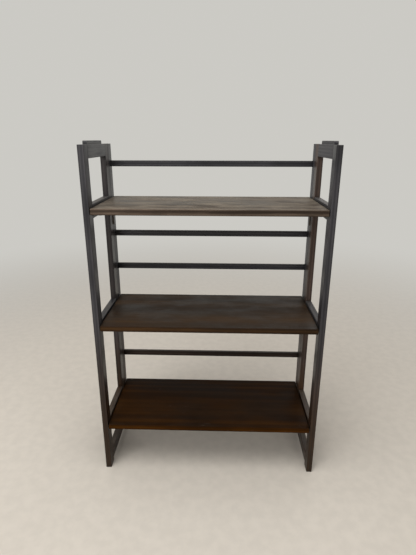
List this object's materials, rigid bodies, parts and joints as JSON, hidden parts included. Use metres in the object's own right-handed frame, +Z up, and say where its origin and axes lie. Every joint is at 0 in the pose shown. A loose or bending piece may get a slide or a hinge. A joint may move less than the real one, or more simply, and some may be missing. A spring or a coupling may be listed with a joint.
{
  "type": "folding shelving unit",
  "caption": "Open folding shelving unit in dark wood: side frames hinged to a slatted back frame, with shelves that pivot up at the rear and stacking tabs.",
  "frame": {"origin": "on the floor, under the middle of the open unit's box", "axes": "+Z up along the height, +X to the right, front towards -Y, +Y to the slatted back"},
  "size_m": [0.7, 0.286, 1.065],
  "materials": {
    "frame_wood": "satin dark brown stain",
    "shelf_wood": "satin dark red-brown stain",
    "hinge_metal": "dark bronze finish on steel",
    "steel": "plain steel"
  },
  "bodies": {
    "frame": {"left_front_stile": "frame_wood", "left_rear_stile": "frame_wood", "left_back_stile": "frame_wood", "left_bottom_rail": "frame_wood", "left_bottom_shelf_rail": "frame_wood", "left_middle_shelf_rail": "frame_wood", "left_top_shelf_rail": "frame_wood", "left_top_rail": "frame_wood", "left_bottom_cleat": "frame_wood", "left_middle_cleat": "frame_wood", "left_top_cleat": "frame_wood", "left_side_hinge_leaves": "hinge_metal", "left_back_hinge_leaves": "hinge_metal", "left_hinge_pins": "hinge_metal", "left_hinge_screws": "hinge_metal", "right_front_stile": "frame_wood", "right_rear_stile": "frame_wood", "right_back_stile": "frame_wood", "right_bottom_rail": "frame_wood", "right_bottom_shelf_rail": "frame_wood", "right_middle_shelf_rail": "frame_wood", "right_top_shelf_rail": "frame_wood", "right_top_rail": "frame_wood", "right_bottom_cleat": "frame_wood", "right_middle_cleat": "frame_wood", "right_top_cleat": "frame_wood", "right_side_hinge_leaves": "hinge_metal", "right_back_hinge_leaves": "hinge_metal", "right_hinge_pins": "hinge_metal", "right_hinge_screws": "hinge_metal", "back_slat_1": "frame_wood", "back_slat_2": "frame_wood", "back_slat_3": "frame_wood", "back_slat_4": "frame_wood", "back_slat_5": "frame_wood", "bottom_cleat_screws": "steel", "middle_cleat_screws": "steel", "top_cleat_screws": "steel"},
    "bottom_shelf": {"bottom_shelf": "shelf_wood", "bottom_shelf_pivot_pins": "steel", "bottom_shelf_washers": "steel"},
    "middle_shelf": {"middle_shelf": "shelf_wood", "middle_shelf_pivot_pins": "steel", "middle_shelf_washers": "steel"},
    "top_shelf": {"top_shelf": "shelf_wood", "top_shelf_pivot_pins": "steel", "top_shelf_washers": "steel"}
  },
  "joints": [
    {"name": "bottom_shelf_lift", "type": "hinge", "parent": "frame", "child": "bottom_shelf", "pos_m": [0, 0.1205, 0.164], "axis": [-1, 0, 0], "range_deg": [0, 90]},
    {"name": "middle_shelf_lift", "type": "hinge", "parent": "frame", "child": "middle_shelf", "pos_m": [0, 0.1205, 0.52], "axis": [-1, 0, 0], "range_deg": [0, 90]},
    {"name": "top_shelf_lift", "type": "hinge", "parent": "frame", "child": "top_shelf", "pos_m": [0, 0.1205, 0.876], "axis": [-1, 0, 0], "range_deg": [0, 90]}
  ]
}
